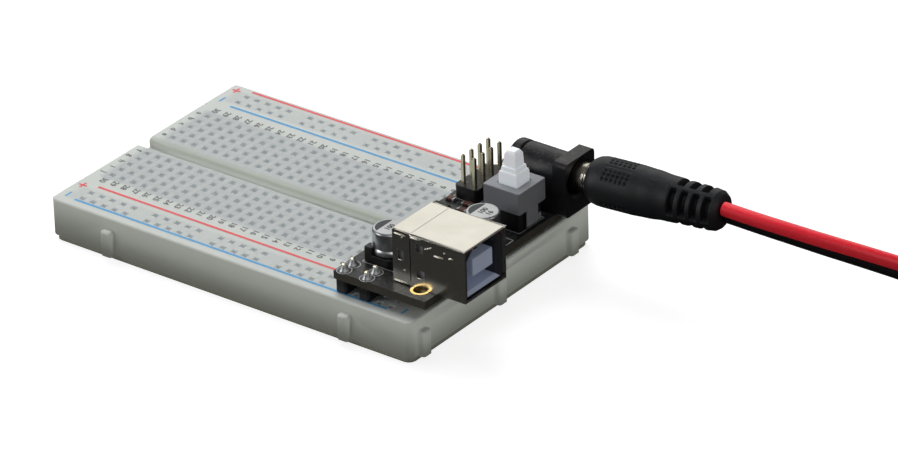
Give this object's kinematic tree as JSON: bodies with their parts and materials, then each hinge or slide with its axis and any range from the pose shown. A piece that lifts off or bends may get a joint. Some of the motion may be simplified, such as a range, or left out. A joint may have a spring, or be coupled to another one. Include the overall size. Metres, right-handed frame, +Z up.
{
  "type": "solderless breadboard",
  "caption": "Half-size solderless breadboard with a plug-in power module: type B data socket, DC jack, push switch, selector pins, and a DC plug on a coiled twin lead.",
  "frame": {"origin": "centre of the board's underside, on the surface it rests on", "axes": "+X along the board to the end with the power module, +Y to the back edge, +Z up"},
  "size_m": [0.2451, 0.078, 0.0271],
  "materials": {
    "ivory_plastic": "satin translucent ABS",
    "foam": "closed-cell foam",
    "liner": "waxed paper",
    "phosphor_bronze": "bright plated spring strip",
    "brass": "thin gold and tin plating",
    "black_plastic": "satin",
    "solder_mask": "semi-gloss",
    "tinned_steel": "bright tin plate",
    "insulator": "satin",
    "aluminium": "drawn can, satin",
    "grey_plastic": "satin",
    "white_plastic": "satin translucent nylon",
    "spring_steel": "bright wire",
    "light_lens": "clear tinted",
    "black_rubber": "fine matt moulding",
    "red_pvc": "soft semi-gloss PVC",
    "strap": "woven hook strap"
  },
  "bodies": {
    "board": {"housing": "ivory_plastic", "adhesive_pad": "foam", "release_liner": "liner", "terminal_clips_front": "phosphor_bronze", "terminal_clips_back": "phosphor_bronze", "bus_clip_front_inner": "phosphor_bronze", "bus_clip_front_outer": "phosphor_bronze", "bus_clip_back_inner": "phosphor_bronze", "bus_clip_back_outer": "phosphor_bronze"},
    "power_module": {"circuit_board": "solder_mask", "rail_header_front_1": "black_plastic", "rail_header_front_2": "black_plastic", "rail_header_back_1": "black_plastic", "rail_header_back_2": "black_plastic", "rail_pin_front_1_inner": "brass", "rail_pin_front_1_outer": "brass", "rail_pin_front_2_inner": "brass", "rail_pin_front_2_outer": "brass", "rail_pin_back_1_inner": "brass", "rail_pin_back_1_outer": "brass", "rail_pin_back_2_inner": "brass", "rail_pin_back_2_outer": "brass", "selector_header": "black_plastic", "selector_pin_1_1": "brass", "selector_pin_1_2": "brass", "selector_pin_1_3": "brass", "selector_pin_1_4": "brass", "selector_pin_2_1": "brass", "selector_pin_2_2": "brass", "selector_pin_2_3": "brass", "selector_pin_2_4": "brass", "usb_shell": "tinned_steel", "usb_insulator": "insulator", "usb_contact_1": "brass", "usb_contact_2": "brass", "usb_contact_3": "brass", "usb_contact_4": "brass", "capacitor_base_1": "black_plastic", "capacitor_can_1": "aluminium", "capacitor_base_2": "black_plastic", "capacitor_can_2": "aluminium", "switch_base": "black_plastic", "switch_body": "grey_plastic", "switch_spring": "spring_steel", "jack_housing": "black_plastic", "jack_rear_cap": "black_plastic", "jack_pin": "brass", "jack_spring_contact": "brass", "regulator_1": "black_plastic", "regulator_2": "black_plastic", "power_light": "light_lens"},
    "plunger": {"switch_plunger": "white_plastic"},
    "plug": {"plug_sleeve": "tinned_steel", "plug_grip": "black_rubber", "lead": "red_pvc", "lead_coil": "red_pvc", "coil_tie": "strap"}
  },
  "joints": [
    {"name": "module_lift", "type": "slide", "parent": "board", "child": "power_module", "axis": [0, 0, 1], "range_m": [0, 0.012]},
    {"name": "switch_press", "type": "slide", "parent": "power_module", "child": "plunger", "axis": [0, 0, -1], "range_m": [0, 0.002], "stiffness_N_per_m": 500, "springref_m": -0.002, "deforming": ["switch_spring"]},
    {"name": "plug_pull", "type": "slide", "parent": "power_module", "child": "plug", "axis": [0.9975, 0.0645, 0.0279], "range_m": [-0.0025, 0.012]}
  ]
}
